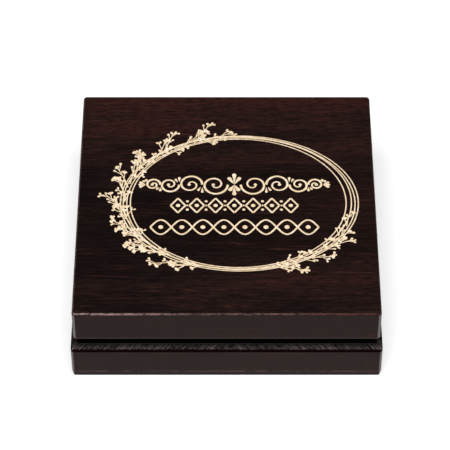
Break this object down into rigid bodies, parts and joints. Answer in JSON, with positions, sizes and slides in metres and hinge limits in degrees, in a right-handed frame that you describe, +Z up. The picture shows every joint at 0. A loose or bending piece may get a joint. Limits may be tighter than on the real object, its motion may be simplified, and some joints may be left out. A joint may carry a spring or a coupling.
{
  "type": "presentation case",
  "caption": "Small square stained wooden presentation case with a hinged lid, a finger groove under it and a padded, lined inside.",
  "frame": {"origin": "on the surface that the case stands on, under the middle of the base", "axes": "+X to the right seen from the front, +Y to the hinged back, +Z up"},
  "size_m": [0.102, 0.101, 0.0303],
  "materials": {
    "stained_wood": "satin",
    "velour": "matte",
    "satin": "satin",
    "grey_board": "matte",
    "brass": "satin",
    "screw_brass": "satin",
    "nickel": "polished"
  },
  "bodies": {
    "case": {"base_body": "stained_wood", "base_magnet_left": "nickel", "base_magnet_right": "nickel", "hinge_left_base_leaf": "brass", "hinge_left_base_screws": "screw_brass", "hinge_left_pin": "brass", "hinge_right_base_leaf": "brass", "hinge_right_base_screws": "screw_brass", "hinge_right_pin": "brass", "insert_board": "grey_board", "seat_pad": "velour", "velour_insert": "velour"},
    "lid": {"hinge_left_lid_leaf": "brass", "hinge_left_lid_screws": "screw_brass", "hinge_right_lid_leaf": "brass", "hinge_right_lid_screws": "screw_brass", "lid_board": "grey_board", "lid_body": "stained_wood", "lid_magnet_left": "nickel", "lid_magnet_right": "nickel", "lid_satin_pad": "satin"}
  },
  "joints": [
    {"name": "lid_hinge", "type": "hinge", "parent": "case", "child": "lid", "pos_m": [0, 0.047, 0.0179], "axis": [-1, 0, 0], "range_deg": [0, 100]}
  ]
}
